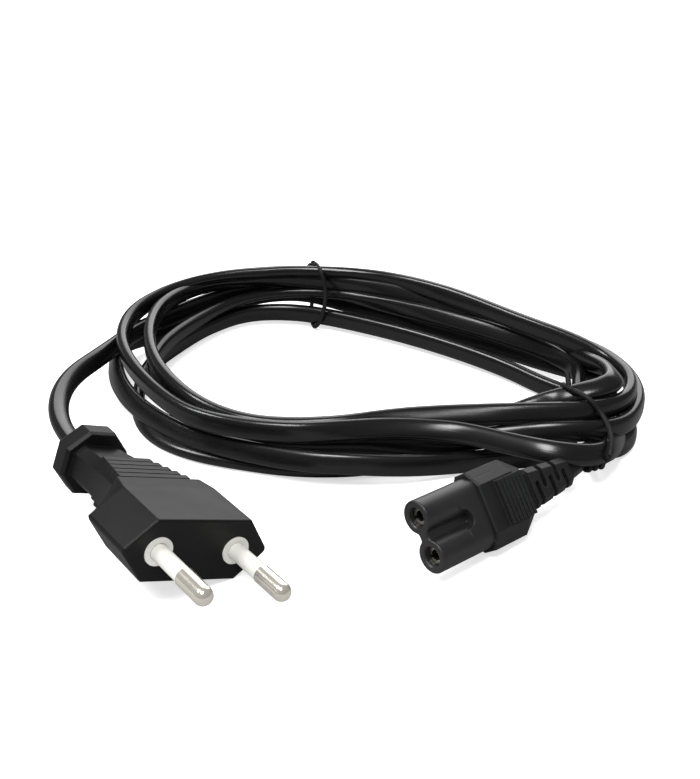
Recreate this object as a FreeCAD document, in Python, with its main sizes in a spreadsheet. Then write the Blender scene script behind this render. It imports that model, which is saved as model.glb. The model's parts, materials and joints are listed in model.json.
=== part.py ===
import FreeCAD, Part
import math
import os
import Sketcher

# Mains lead: two-pin plug, flat twin cord wound in a tied coil, figure-eight connector.
# Both ends are drawn with +X pointing out of the mating face, Y across and Z through the thickness.

V = FreeCAD.Vector

sizes = {
    # Plug pins, sleeves and their carrier
    "pinSpacing": 18.6,
    "pinDiameter": 4.0,
    "pinLength": 19.0,
    "pinShankDiameter": 3.0,
    "rivetLength": 1.3,
    "sleeveDiameter": 3.65,
    "sleeveLength": 10.0,
    "sleeveRootDepth": 3.0,
    "bossDiameter": 6.2,
    "bossProud": 0.25,
    "carrierFrontDepth": 4.0,
    "carrierRearDepth": 12.0,
    "carrierWidth": 25.0,
    "carrierHeight": 8.0,
    "fitGap": 0.05,
    "cutSpare": 1.0,
    # Plug overmould
    "plugWidth": 35.3,
    "plugFlatWidth": 22.6,
    "plugThickness": 13.7,
    "headSideLength": 15.0,
    "headLength": 20.0,
    "headRearWidth": 24.0,
    "headRearFlatWidth": 20.4,
    "headRearThickness": 13.4,
    "neckLength": 22.8,
    "neckFrontWidth": 20.0,
    "neckFrontHeight": 12.2,
    "neckMiddleWidth": 14.4,
    "neckMiddleHeight": 9.6,
    "neckRearWidth": 12.0,
    "neckRearHeight": 9.0,
    "neckChamfer": 2.0,
    "neckSideLean": -1.7,
    "neckDrop": -0.8,
    "neckLeanShare": 0.3,
    "ridgeRadius": 1.2,
    "neckRibCount": 5,
    "neckRibPitch": 2.8,
    "neckRibWidth": 1.8,
    "neckRibRise": 0.7,
    "collarAcross": 15.4,
    "collarLength": 5.6,
    "collarChamfer": 0.9,
    "mouldEdgeRadius": 0.5,
    # Flat twin cord and its cores
    "cordWidth": 5.4,
    "cordThickness": 3.3,
    "coreDiameter": 2.3,
    "coreSpacing": 2.5,
    "conductorDiameter": 1.1,
    "coreLeaveShare": 0.24,
    "coreArriveShare": 0.67,
    "coreEndGap": 0.3,
    "plugSheathDepth": 34.0,
    "terminalThickness": 0.8,
    "terminalHeight": 4.4,
    "terminalInset": 3.1,
    "barrelLength": 4.5,
    "barrelWall": 0.35,
    # Figure-eight connector nose and contacts
    "lobeSpacing": 8.6,
    "lobeDiameter": 7.4,
    "webThickness": 2.5,
    "waistFillet": 0.8,
    "grooveLength": 11.7,
    "grooveEndRadius": 2.2,
    "noseEdgeRadius": 0.45,
    "holeChamfer": 0.35,
    "noseLength": 15.5,
    "noseRootDepth": 22.0,
    "noseRootWidth": 14.0,
    "noseRootHeight": 6.2,
    "holeDiameter": 4.2,
    "contactRecess": 1.5,
    "contactDiameter": 3.9,
    "contactBoreDiameter": 2.4,
    "contactBoreLength": 12.0,
    "contactSlit": 0.5,
    "contactSlitLength": 8.5,
    "crimpSetback": 4.0,
    "crimpStartDepth": "=noseRootDepth - crimpSetback",
    # Connector overmould
    "bodyWidth": 17.6,
    "bodyFlatWidth": 10.8,
    "bodyThickness": 9.2,
    "bodySideThickness": 3.6,
    "bodyStraightDepth": 26.0,
    "bodyRearDepth": 31.5,
    "bodyRearScale": 0.62,
    "padStartDepth": 20.0,
    "padLength": 7.6,
    "padWidth": 10.0,
    "padRise": 0.8,
    "padRibCount": 7,
    "padRibWidth": 0.6,
    "padRibRise": 0.45,
    "reliefLength": 14.3,
    "reliefFrontWidth": 9.4,
    "reliefFrontHeight": 7.2,
    "reliefRearWidth": 6.8,
    "reliefRearHeight": 5.2,
    "reliefCorner": 1.2,
    "slotCount": 5,
    "slotSpacing": 2.5,
    "slotWidth": 1.5,
    "slotStart": 1.9,
    "slotOverlap": 0.4,
    "connectorSheathDepth": 33.0,
    # Coil and ties
    "coilWidth": 13.0,
    "coilHeight": 16.5,
    "coilEdgeRadius": 4.0,
    "tieDiameter": 1.3,
    "tieGap": 0.12,
    "plugLeadRun": 12.0,
    "connectorLeadRun": 6.0,
    # How the ends lie, in degrees and millimetres
    "plugYaw": -52.9,
    "plugPitch": 0.6,
    "plugRoll": -22.4,
    "plugFaceX": -22.483,
    "plugFaceY": -10.704,
    "connectorYaw": -138.2,
    "connectorPitch": -3.6,
    "connectorRoll": -52.4,
    "connectorFaceX": 23.097,
    "connectorFaceY": -4.814,
}

doc = FreeCAD.newDocument("figureEightLead")
sheet = doc.addObject("Spreadsheet::Sheet", "Sizes")
for row, (name, value) in enumerate(sizes.items(), 1):
    sheet.set("A%d" % row, name)
    sheet.set("B%d" % row, str(value))
    sheet.setAlias("B%d" % row, name)
doc.recompute()


def mm(name):
    return float(sheet.get(name))


# Helpers for sketches and primitives

def originPlane(body, role):
    return [plane for plane in body.Origin.OriginFeatures if plane.Role == role][0]


def polygonSketch(body, name, role, corners, offset=None):
    # corners are pairs of sheet expressions, so every vertex follows the sizes
    sketch = body.newObject("Sketcher::SketchObject", name)
    sketch.AttachmentSupport = (originPlane(body, role), [""])
    sketch.MapMode = "FlatFace"
    count = len(corners)
    rough = []
    for k in range(count):
        turn = 2 * math.pi * k / count
        rough.append(V(10 * math.cos(turn), 10 * math.sin(turn), 0))
    for k in range(count):
        sketch.addGeometry(Part.LineSegment(rough[k], rough[(k + 1) % count]), False)
    for k in range(count):
        sketch.addConstraint(Sketcher.Constraint("Coincident", k, 2, (k + 1) % count, 1))
    for k, corner in enumerate(corners):
        for kind, axis, text, start in zip(("DistanceX", "DistanceY"), (-2, -1), corner, rough[k]):
            if text == "0":
                sketch.addConstraint(Sketcher.Constraint("PointOnObject", k, 1, axis))
                continue
            index = sketch.addConstraint(Sketcher.Constraint(kind, -1, 1, k, 1, start))
            sketch.setExpression("Constraints[%d]" % index, text)
    if offset:
        sketch.setExpression("AttachmentOffset.Base.z", offset)
    return sketch


def newBody(name):
    return doc.addObject("PartDesign::Body", name)


def addPad(body, name, profile, length, backwards=True):
    pad = body.newObject("PartDesign::Pad", name)
    pad.Profile = profile
    pad.Reversed = backwards
    pad.setExpression("Length", length)
    return pad


def addLoft(body, name, profiles):
    loft = body.newObject("PartDesign::AdditiveLoft", name)
    loft.Profile = profiles[0]
    loft.Sections = [(profile, [""]) for profile in profiles[1:]]
    loft.Ruled = True
    return loft


def addTurned(body, name, corners):
    # corners are (along X, radius) and the profile is turned about X
    profile = polygonSketch(body, name + "Profile", "XY_Plane", corners)
    turned = body.newObject("PartDesign::Revolution", name)
    turned.Profile = profile
    turned.ReferenceAxis = (profile, ["H_Axis"])
    turned.Angle = 360
    return turned


def bind(item, bindings):
    for prop, text in bindings.items():
        item.setExpression(prop, text)
    return item


def boxOf(name, x, y, z, length, width, height):
    return bind(doc.addObject("Part::Box", name), {
        "Placement.Base.x": x, "Placement.Base.y": y, "Placement.Base.z": z,
        "Length": length, "Width": width, "Height": height})


def rodOf(name, x, y, radius, length):
    # a cylinder along +X from the plane x, its axis at height zero
    rod = doc.addObject("Part::Cylinder", name)
    rod.Placement.Rotation = FreeCAD.Rotation(V(0, 1, 0), 90)
    return bind(rod, {"Placement.Base.x": x, "Placement.Base.y": y, "Radius": radius, "Height": length})


def joined(name, items):
    fuse = doc.addObject("Part::MultiFuse", name)
    fuse.Shapes = items
    return fuse


def cutFrom(name, base, tool):
    cut = doc.addObject("Part::Cut", name)
    cut.Base = base
    cut.Tool = tool
    return cut


def softened(name, base, radius, wanted):
    # rounds every edge of the base that the test picks out
    soft = doc.addObject("Part::Fillet", name)
    soft.Base = base
    soft.Edges = [(k, radius, radius) for k, edge in enumerate(base.Shape.Edges, 1)
                  if wanted(edge, edge.BoundBox)]
    return soft


def shaped(name, shape):
    item = doc.addObject("Part::Feature", name)
    item.Shape = shape
    return item


# Helpers for cores, cords and wires

def roundedRoute(points, closed=False):
    # straight runs joined by tangent arcs, each as large as its two runs allow
    count = len(points)
    corners = range(count) if closed else range(1, count - 1)
    edges = []
    radii = []
    joints = {}
    for k in corners:
        before = points[k - 1] - points[k]
        after = points[(k + 1) % count] - points[k]
        turn = math.pi - before.getAngle(after)
        reach = 0.45 * min(before.Length, after.Length)
        radius = reach / math.tan(turn / 2)
        begin = points[k] + before.normalize() * reach
        finish = points[k] + after.normalize() * reach
        inward = (before + after).normalize()
        middle = points[k] + inward * (radius / math.cos(turn / 2) - radius)
        joints[k] = (begin, finish)
        radii.append(radius)
        edges.append((k, Part.Arc(begin, middle, finish).toShape()))
    if not closed:
        joints[0] = (points[0], points[0])
        joints[count - 1] = (points[-1], points[-1])
    ordered = []
    arcs = dict(edges)
    for k in range(count if closed else count - 1):
        if k in arcs:
            ordered.append(arcs[k])
        ordered.append(Part.makeLine(joints[k][1], joints[(k + 1) % count][0]))
    return Part.Wire(ordered), radii


def roundBar(route, radius, closed=False):
    start = route.Edges[0]
    at = start.valueAt(start.FirstParameter)
    along = start.tangentAt(start.FirstParameter)
    ring = Part.Wire([Part.makeCircle(radius, at, along)])
    return Part.Wire(route.Edges).makePipeShell([ring], True, False)


def flatOutline(width, thickness, x):
    # the flat cord's section: two straight sides and two round edges
    side = (width - thickness) / 2
    half = thickness / 2
    top = Part.makeLine(V(x, -side, half), V(x, side, half))
    right = Part.Arc(V(x, side, half), V(x, side + half, 0), V(x, side, -half)).toShape()
    bottom = Part.makeLine(V(x, side, -half), V(x, -side, -half))
    left = Part.Arc(V(x, -side, -half), V(x, -side - half, 0), V(x, -side, half)).toShape()
    return Part.Wire([top, right, bottom, left])


def flatBar(sheathDepth, rearDepth, lean, extra=0.0, spare=0.0):
    # the flat sheath from where its cores end to the rear of a moulding, leaning with the moulding
    run = rearDepth - sheathDepth
    front = flatOutline(mm("cordWidth") + 2 * spare, mm("cordThickness") + 2 * spare, -sheathDepth)
    rear = front.copy()
    rear.translate(V(-run, 0, 0) + lean)
    rear.translate((V(-run, 0, 0) + lean) * (extra / run))
    return Part.makeLoft([front, rear], True, True)


def coreRoute(side, sheathDepth, spread, skinTip, tip):
    # a core leaves the sheath, swings out to its terminal and ends straight
    inner = side * mm("coreSpacing") / 2
    outer = side * spread
    run = sheathDepth - skinTip
    leave = mm("coreLeaveShare") * run - sheathDepth
    arrive = mm("coreArriveShare") * run - sheathDepth
    return roundedRoute([V(-sheathDepth, inner, 0), V(leave, inner, 0), V(arrive, outer, 0),
                         V(-tip, outer, 0)])[0]


def coreShapes(route, bareRoute):
    # insulation with its bore, the conductor that fills it, and the space the core needs
    gap = mm("fitGap")
    wire = mm("conductorDiameter") / 2
    skin = mm("coreDiameter") / 2
    bore = roundBar(bareRoute, wire + gap)
    return roundBar(route, skin).cut(bore), roundBar(bareRoute, wire), roundBar(route, skin + gap)


pieces = {}


def keep(name, item, placement):
    item.Label = name
    item.Placement = placement
    pieces[name] = item


# Plug: pins and sleeves, turned about X

sides = {"left": -1, "right": 1}
gap = mm("fitGap")
pinEntry = {}


def plugPin(name):
    body = newBody(name)
    tail = "-Sizes.carrierRearDepth - Sizes.rivetLength"
    step = "Sizes.sleeveLength + Sizes.fitGap"
    shank = "Sizes.pinShankDiameter / 2"
    full = "Sizes.pinDiameter / 2"
    turned = addTurned(body, name + "Turned", [
        (tail, "0"), ("Sizes.pinLength", "0"), ("Sizes.pinLength", full), (step, full), (step, shank),
        (tail, shank)])
    doc.recompute()
    rim = [k for k, edge in enumerate(body.Shape.Edges, 1)
           if edge.Vertexes[0].X > mm("pinLength") - 0.01 and edge.Length > mm("pinDiameter")]
    tip = body.newObject("PartDesign::Fillet", name + "Tip")
    tip.Base = (turned, ["Edge%d" % k for k in rim])
    tip.setExpression("Radius", "Sizes.pinDiameter / 2 - Sizes.fitGap")
    return body


def plugSleeve(name):
    body = newBody(name)
    root = "-Sizes.sleeveRootDepth"
    inside = "Sizes.pinShankDiameter / 2 + Sizes.fitGap"
    outside = "Sizes.sleeveDiameter / 2"
    addTurned(body, name + "Turned", [
        (root, inside), ("Sizes.sleeveLength", inside), ("Sizes.sleeveLength", outside), (root, outside)])
    return body


# White carrier: a bridge behind the face with one boss round each pin

def plugCarrier():
    bridge = boxOf("carrierBridge", "-Sizes.carrierRearDepth", "-Sizes.carrierWidth / 2",
                   "-Sizes.carrierHeight / 2",
                   "Sizes.carrierRearDepth - Sizes.carrierFrontDepth", "Sizes.carrierWidth",
                   "Sizes.carrierHeight")
    solids = [bridge]
    bores = []
    for word, side in sides.items():
        centre = "%d * Sizes.pinSpacing / 2" % side
        solids.append(rodOf("carrierBoss" + word, "-Sizes.carrierRearDepth", centre,
                            "Sizes.bossDiameter / 2",
                            "Sizes.carrierRearDepth + Sizes.bossProud"))
        bores.append(rodOf("carrierBore" + word, "-Sizes.carrierRearDepth - Sizes.cutSpare", centre,
                           "Sizes.pinShankDiameter / 2 + Sizes.fitGap",
                           "Sizes.carrierRearDepth + 2 * Sizes.cutSpare"))
        bores.append(rodOf("carrierSeat" + word, "-Sizes.sleeveRootDepth - Sizes.fitGap", centre,
                           "Sizes.sleeveDiameter / 2 + Sizes.fitGap",
                           "Sizes.sleeveRootDepth + 2 * Sizes.cutSpare"))
    return cutFrom("carrierCut", joined("carrierSolid", solids), joined("carrierBores", bores))


# Brass crimp terminal: a plate riveted on the pin's tail and a barrel for the conductor

def terminalShape(side):
    pinAt = side * mm("pinSpacing") / 2
    barrelAt = pinAt - side * mm("terminalInset")
    thick = mm("terminalThickness")
    tall = mm("terminalHeight")
    rear = -mm("carrierRearDepth") - gap - thick
    plate = Part.makeBox(thick, mm("terminalInset"), tall, V(rear, min(pinAt, barrelAt), -tall / 2))
    for centre in (pinAt, barrelAt):
        plate = plate.fuse(Part.makeCylinder(tall / 2, thick, V(rear, centre, 0), V(1, 0, 0)))
    inner = mm("conductorDiameter") / 2 + gap
    barrel = Part.makeCylinder(inner + mm("barrelWall"), mm("barrelLength"), V(rear, barrelAt, 0),
                               V(-1, 0, 0))
    bore = Part.makeCylinder(inner, mm("barrelLength") + thick, V(rear + thick, barrelAt, 0), V(-1, 0, 0))
    hole = Part.makeCylinder(mm("pinShankDiameter") / 2 + gap, thick, V(rear, pinAt, 0), V(1, 0, 0))
    return plate.fuse(barrel).cut(bore).cut(hole).removeSplitter()


def terminalSpace(side):
    shape = terminalShape(side)
    box = shape.BoundBox
    behind = mm("coreEndGap") + gap
    return Part.makeBox(box.XLength + behind + gap, box.YLength + 2 * gap, box.ZLength + 2 * gap,
                        V(box.XMin - behind, box.YMin - gap, box.ZMin - gap))


# Black plug overmould: hexagonal head, ribbed neck and faceted collar in one moulding

def hexagon(width, flat, thickness):
    return [(width + " / 2", "0"), (flat + " / 2", thickness + " / 2"),
            ("-" + flat + " / 2", thickness + " / 2"),
            ("-" + width + " / 2", "0"), ("-" + flat + " / 2", "-" + thickness + " / 2"),
            (flat + " / 2", "-" + thickness + " / 2")]


def cutCorners(width, height, corner):
    # a rectangle centred on the axis with its four corners cut off
    across = [(1, 1), (-1, 1), (-1, -1), (1, -1)]
    corners = []
    for k, (right, up) in enumerate(across):
        side = ("%d * (%s / 2)" % (right, width), "%d * (%s / 2 - %s)" % (up, height, corner))
        level = ("%d * (%s / 2 - %s)" % (right, width, corner), "%d * (%s / 2)" % (up, height))
        corners += [side, level] if k % 2 == 0 else [level, side]
    return corners


def shifted(corners, share):
    # the neck leans to one side and down as its cord pulls it
    side = " + %g * Sizes.neckSideLean" % share
    down = " + %g * Sizes.neckDrop" % share
    return [(across + side, level + down) for across, level in corners]


def plugBody(spaces):
    body = newBody("plugMould")
    face = polygonSketch(body, "plugFace", "YZ_Plane",
                         hexagon("Sizes.plugWidth", "Sizes.plugFlatWidth", "Sizes.plugThickness"))
    addPad(body, "plugHead", face, "Sizes.headSideLength")
    ridge = polygonSketch(body, "plugRidgeEnd", "YZ_Plane",
                          hexagon("Sizes.plugWidth", "Sizes.plugFlatWidth", "Sizes.plugThickness"),
                          "-Sizes.headSideLength")
    rear = polygonSketch(body, "plugHeadRear", "YZ_Plane",
                         hexagon("Sizes.headRearWidth", "Sizes.headRearFlatWidth",
                                 "Sizes.headRearThickness"),
                         "-Sizes.headLength")
    addLoft(body, "plugShoulder", [ridge, rear])
    sections = []
    for word, part, share in (("Front", 0.0, 0.0), ("Middle", 0.5, mm("neckLeanShare")), ("Rear", 1.0, 1.0)):
        corners = cutCorners("Sizes.neck%sWidth" % word, "Sizes.neck%sHeight" % word, "Sizes.neckChamfer")
        sections.append(polygonSketch(body, "neck" + word, "YZ_Plane", shifted(corners, share),
                                      "-Sizes.headLength - %g * Sizes.neckLength" % part))
    addLoft(body, "plugNeck", sections).Ruled = False
    collar = []
    for word, along, shrink in (("A", "0", 1), ("B", "Sizes.collarChamfer", 0),
                                ("C", "(Sizes.collarLength - Sizes.collarChamfer)", 0),
                                ("D", "Sizes.collarLength", 1)):
        across = "(Sizes.collarAcross - %d * Sizes.collarChamfer)" % shrink
        flat = "(%s * %.4f)" % (across, (1 - math.tan(math.pi / 8)) / 2)
        collar.append(polygonSketch(body, "collar" + word, "YZ_Plane",
                                    shifted(cutCorners(across, across, flat), 1),
                                    "-Sizes.headLength - Sizes.neckLength - " + along))
    for k in range(3):
        addLoft(body, "plugCollar%d" % k, collar[k:k + 2])
    doc.recompute()
    ridges = softened("plugRidges", body, mm("ridgeRadius"), lambda edge, box: (
        abs(edge.Length - mm("headSideLength")) < 0.01 and box.YLength < 0.01
        and abs(edge.CenterOfMass.z) < 0.01))
    doc.recompute()
    front = -mm("headSideLength") - 0.01
    bars = [softened("plugEdges", ridges, mm("mouldEdgeRadius"), lambda edge, box: (
        box.XMin > front and not (edge.Length > mm("ridgeRadius") and box.YLength + box.ZLength < 0.01
                                  and abs(edge.CenterOfMass.z) < mm("ridgeRadius"))))]
    for k in range(int(mm("neckRibCount"))):
        # each rib is a bar across the neck, shorter and lower towards the collar
        x = "-Sizes.headLength - Sizes.neckRibPitch * %g - Sizes.neckRibWidth" % (k + 0.4)
        part = "((%g * Sizes.neckRibPitch) / (Sizes.neckLength / 2))" % (k + 0.4)
        wide = "(Sizes.neckFrontWidth + (Sizes.neckMiddleWidth - Sizes.neckFrontWidth) * %s - Sizes.neckChamfer)" % part
        tall = ("(Sizes.neckFrontHeight + (Sizes.neckMiddleHeight - Sizes.neckFrontHeight) * %s"
                " + Sizes.neckRibRise)" % part)
        bars.append(boxOf("neckRib%d" % k, x, "-%s / 2" % wide, "-%s / 2" % tall, "Sizes.neckRibWidth",
                          wide, tall))
    return cutFrom("plugBodyCut", joined("plugBodySolid", bars), shaped("plugHollow", spaces))


# Figure-eight nose: two lobes and a web in front, one flat block behind

def connectorNose():
    lobes = []
    holes = []
    for word, side in sides.items():
        centre = "%d * Sizes.lobeSpacing / 2" % side
        lobes.append(rodOf("lobe" + word, "-Sizes.noseLength", centre, "Sizes.lobeDiameter / 2",
                           "Sizes.noseLength"))
        holes.append(rodOf("lobeHole" + word, "-Sizes.noseRootDepth - Sizes.cutSpare", centre,
                           "Sizes.holeDiameter / 2", "Sizes.noseRootDepth + 2 * Sizes.cutSpare"))
        mouth = doc.addObject("Part::Cone", "lobeMouth" + word)
        mouth.Placement.Rotation = FreeCAD.Rotation(V(0, 1, 0), 90)
        holes.append(bind(mouth, {
            "Placement.Base.x": "-Sizes.holeChamfer", "Placement.Base.y": centre,
            "Height": "2 * Sizes.holeChamfer",
            "Radius1": "Sizes.holeDiameter / 2",
            "Radius2": "Sizes.holeDiameter / 2 + 2 * Sizes.holeChamfer"}))
    web = boxOf("noseWeb", "-Sizes.noseLength", "-Sizes.lobeSpacing / 2", "-Sizes.webThickness / 2",
                "Sizes.noseLength", "Sizes.lobeSpacing", "Sizes.webThickness")
    eight = joined("noseEight", lobes + [web])
    doc.recompute()
    waist = softened("noseWaist", eight, mm("waistFillet"), lambda edge, box: (
        abs(edge.Length - mm("noseLength")) < 0.01
        and abs(abs(edge.CenterOfMass.z) - mm("webThickness") / 2) < 0.01))
    doc.recompute()
    rim = softened("noseRim", waist, mm("noseEdgeRadius"), lambda edge, box: box.XMin > -0.01)
    # the two grooves end in a round wall, so the filler behind them is hollowed by an upright cylinder
    filler = boxOf("noseFiller", "-Sizes.noseLength", "-Sizes.lobeSpacing / 2", "-Sizes.lobeDiameter / 2",
                   "Sizes.noseLength - Sizes.grooveLength + Sizes.grooveEndRadius",
                   "Sizes.lobeSpacing", "Sizes.lobeDiameter")
    hollow = bind(doc.addObject("Part::Cylinder", "grooveEnd"), {
        "Placement.Base.x": "Sizes.grooveEndRadius - Sizes.grooveLength",
        "Placement.Base.z": "-Sizes.lobeDiameter",
        "Radius": "Sizes.grooveEndRadius", "Height": "2 * Sizes.lobeDiameter"})
    flat = cutFrom("noseFlat", filler, hollow)
    root = boxOf("noseRoot", "-Sizes.noseRootDepth", "-Sizes.noseRootWidth / 2", "-Sizes.noseRootHeight / 2",
                 "Sizes.noseRootDepth - Sizes.noseLength", "Sizes.noseRootWidth", "Sizes.noseRootHeight")
    solid = joined("noseSolid", [rim, flat, root])
    return cutFrom("noseCut", solid, joined("noseHoles", holes))


# Contact: split sleeve in front and a crimp barrel behind, turned about X and slit

def connectorContact(name):
    body = newBody(name)
    mouth = "-Sizes.contactRecess"
    end = "(-Sizes.contactRecess - Sizes.contactBoreLength)"
    crimp = "-Sizes.crimpStartDepth"
    tail = "-Sizes.crimpStartDepth - Sizes.barrelLength"
    wire = "(Sizes.conductorDiameter / 2 + Sizes.fitGap)"
    barrel = wire + " + Sizes.barrelWall"
    bore = "Sizes.contactBoreDiameter / 2"
    outside = "Sizes.contactDiameter / 2"
    addTurned(body, name + "Turned", [
        (crimp, "0"), (crimp, wire), (tail, wire), (tail, barrel),
        (end + " - Sizes.contactDiameter / 2", barrel),
        (end, outside), (mouth, outside), (mouth, bore), (end, bore), (end, "0")])
    doc.recompute()
    slitEnd = "-Sizes.contactRecess - Sizes.contactSlitLength"
    half = "Sizes.contactSlit / 2"
    slit = polygonSketch(body, name + "Slit", "XY_Plane", [
        (slitEnd, "-" + half), ("0", "-" + half), ("0", half), (slitEnd, half)])
    cut = body.newObject("PartDesign::Pocket", name + "SlitCut")
    cut.Profile = slit
    cut.setExpression("Length", "Sizes.contactDiameter")
    return body


# Connector overmould: eight-sided body, ribbed grip pads and slotted strain relief in one moulding

def eightSided(scale):
    width = "(Sizes.bodyWidth * %s / 2)" % scale
    flat = "(Sizes.bodyFlatWidth * %s / 2)" % scale
    thick = "(Sizes.bodyThickness * %s / 2)" % scale
    side = "(Sizes.bodySideThickness * %s / 2)" % scale
    return [(width, "-" + side), (width, side), (flat, thick), ("-" + flat, thick),
            ("-" + width, side), ("-" + width, "-" + side), ("-" + flat, "-" + thick), (flat, "-" + thick)]


def connectorBody(spaces):
    body = newBody("connectorMould")
    stations = [("Front", "1", "Sizes.noseLength"), ("Back", "1", "Sizes.bodyStraightDepth"),
                ("End", "Sizes.bodyRearScale", "Sizes.bodyRearDepth")]
    rings = []
    for word, scale, depth in stations:
        rings.append(polygonSketch(body, "shell" + word, "YZ_Plane", eightSided(scale), "-" + depth))
    addLoft(body, "shellFront", rings[:2])
    addLoft(body, "shellRear", rings[1:])
    relief = []
    for word, depth in (("Front", "0"), ("Rear", "Sizes.reliefLength")):
        relief.append(polygonSketch(
            body, "relief" + word, "YZ_Plane",
            cutCorners("Sizes.relief%sWidth" % word, "Sizes.relief%sHeight" % word, "Sizes.reliefCorner"),
            "-Sizes.bodyRearDepth - " + depth))
    addLoft(body, "reliefTaper", relief)
    doc.recompute()
    solids = [softened("shellEdges", body, mm("mouldEdgeRadius"), lambda edge, box: (
        box.XMin > -mm("noseLength") - 0.01))]
    depth = "-Sizes.padStartDepth - Sizes.padLength"
    for word, height in (("pad", "(Sizes.bodyThickness / 2 + Sizes.padRise)"),):
        solids.append(boxOf(word + "Grip", depth, "-Sizes.padWidth / 2", "-" + height,
                            "Sizes.padLength", "Sizes.padWidth", "2 * " + height))
    top = "(Sizes.bodyThickness / 2 + Sizes.padRise + Sizes.padRibRise)"
    for k in range(int(mm("padRibCount"))):
        pitch = "((Sizes.padLength - Sizes.padRibWidth) / (Sizes.padRibCount - 1))"
        solids.append(boxOf("padRib%d" % k, "%s + %d * %s" % (depth, k, pitch), "-Sizes.padWidth / 2",
                            "-" + top,
                            "Sizes.padRibWidth", "Sizes.padWidth", "2 * " + top))
    slots = [shaped("connectorHollow", spaces)]
    for k in range(int(mm("slotCount"))):
        # slots open in turn to either side, each a little past the middle
        x = "-Sizes.bodyRearDepth - Sizes.slotStart - %d * Sizes.slotSpacing - Sizes.slotWidth / 2" % k
        y = "-Sizes.slotOverlap" if k % 2 == 0 else "Sizes.slotOverlap - Sizes.reliefFrontWidth"
        slots.append(boxOf("reliefSlot%d" % k, x, y, "-Sizes.reliefFrontHeight",
                           "Sizes.slotWidth", "Sizes.reliefFrontWidth", "2 * Sizes.reliefFrontHeight"))
        slots.append(bind(doc.addObject("Part::Cylinder", "reliefSlotEnd%d" % k), {
            "Placement.Base.x": x + " + Sizes.slotWidth / 2",
            "Placement.Base.y": "-Sizes.slotOverlap" if k % 2 == 0 else "Sizes.slotOverlap",
            "Placement.Base.z": "-Sizes.reliefFrontHeight", "Radius": "Sizes.slotWidth / 2",
            "Height": "2 * Sizes.reliefFrontHeight"}))
    return cutFrom("connectorBodyCut", joined("connectorSolid", solids), joined("connectorSlots", slots))


# Build both ends in their own frames

plugCores = {}
plugSpaces = []
for word, side in sides.items():
    barrelAt = mm("pinSpacing") / 2 - mm("terminalInset")
    barrelEnd = mm("carrierRearDepth") + gap + mm("terminalThickness") + mm("barrelLength")
    skinTip = barrelEnd + mm("coreEndGap")
    skinRoute = coreRoute(side, mm("plugSheathDepth"), barrelAt, skinTip, skinTip)
    bareRoute = coreRoute(side, mm("plugSheathDepth"), barrelAt, skinTip,
                          mm("carrierRearDepth") + mm("coreEndGap"))
    plugCores[word] = coreShapes(skinRoute, bareRoute)
    plugSpaces += [plugCores[word][2], terminalSpace(side)]

carrierSpace = Part.makeBox(
    mm("carrierRearDepth") - mm("carrierFrontDepth") + 2 * gap, mm("carrierWidth") + 2 * gap,
    mm("carrierHeight") + 2 * gap,
    V(-mm("carrierRearDepth") - gap, -mm("carrierWidth") / 2 - gap, -mm("carrierHeight") / 2 - gap))
for side in sides.values():
    carrierSpace = carrierSpace.fuse(Part.makeCylinder(
        mm("bossDiameter") / 2 + gap, mm("carrierRearDepth") + mm("cutSpare"),
        V(-mm("carrierRearDepth"), side * mm("pinSpacing") / 2, 0), V(1, 0, 0)))
plugRear = mm("headLength") + mm("neckLength") + mm("collarLength")
plugLean = V(0, mm("neckSideLean"), mm("neckDrop"))
plugSpaces += [carrierSpace, flatBar(mm("plugSheathDepth"), plugRear, plugLean, mm("cutSpare"), gap)]
plugHollow = plugSpaces[0].multiFuse(plugSpaces[1:])

connectorCores = {}
connectorSpaces = []
for word, side in sides.items():
    spread = mm("lobeSpacing") / 2
    crimpEnd = mm("crimpStartDepth") + mm("barrelLength")
    skinTip = crimpEnd + mm("coreEndGap")
    skinRoute = coreRoute(side, mm("connectorSheathDepth"), spread, skinTip, skinTip)
    bareRoute = coreRoute(side, mm("connectorSheathDepth"), spread, skinTip,
                          mm("crimpStartDepth") + mm("coreEndGap"))
    connectorCores[word] = coreShapes(skinRoute, bareRoute)
    crimpSpace = Part.makeCylinder(mm("coreDiameter") / 2 + gap, skinTip + gap - mm("noseRootDepth"),
                                   V(-mm("noseRootDepth"), side * spread, 0), V(-1, 0, 0))
    connectorSpaces += [connectorCores[word][2], crimpSpace]
rootSpace = Part.makeBox(
    mm("noseRootDepth") - mm("noseLength") + gap, mm("noseRootWidth") + 2 * gap,
    mm("noseRootHeight") + 2 * gap,
    V(-mm("noseRootDepth") - gap, -mm("noseRootWidth") / 2 - gap, -mm("noseRootHeight") / 2 - gap))
connectorRear = mm("bodyRearDepth") + mm("reliefLength")
connectorSpaces += [rootSpace, flatBar(mm("connectorSheathDepth"), connectorRear, V(), mm("cutSpare"), gap)]
connectorHollow = connectorSpaces[0].multiFuse(connectorSpaces[1:])

plugItems = {"plug_body": plugBody(plugHollow), "plug_carrier": plugCarrier()}
connectorItems = {"connector_body": connectorBody(connectorHollow), "connector_nose": connectorNose()}
for word, side in sides.items():
    plugItems["plug_pin_" + word] = plugPin("plugPin" + word)
    plugItems["plug_sleeve_" + word] = plugSleeve("plugSleeve" + word)
    plugItems["plug_terminal_" + word] = shaped("plugTerminal" + word, terminalShape(side))
    plugItems["plug_core_" + word] = shaped("plugCore" + word, plugCores[word][0])
    plugItems["plug_conductor_" + word] = shaped("plugConductor" + word, plugCores[word][1])
    connectorItems["connector_contact_" + word] = connectorContact("contact" + word)
    connectorItems["connector_core_" + word] = shaped("connectorCore" + word, connectorCores[word][0])
    connectorItems["connector_conductor_" + word] = shaped("connectorConductor" + word,
                                                           connectorCores[word][1])
doc.recompute()


# Lay both ends on the surface: each is turned as it lies and lowered until it touches

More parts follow.
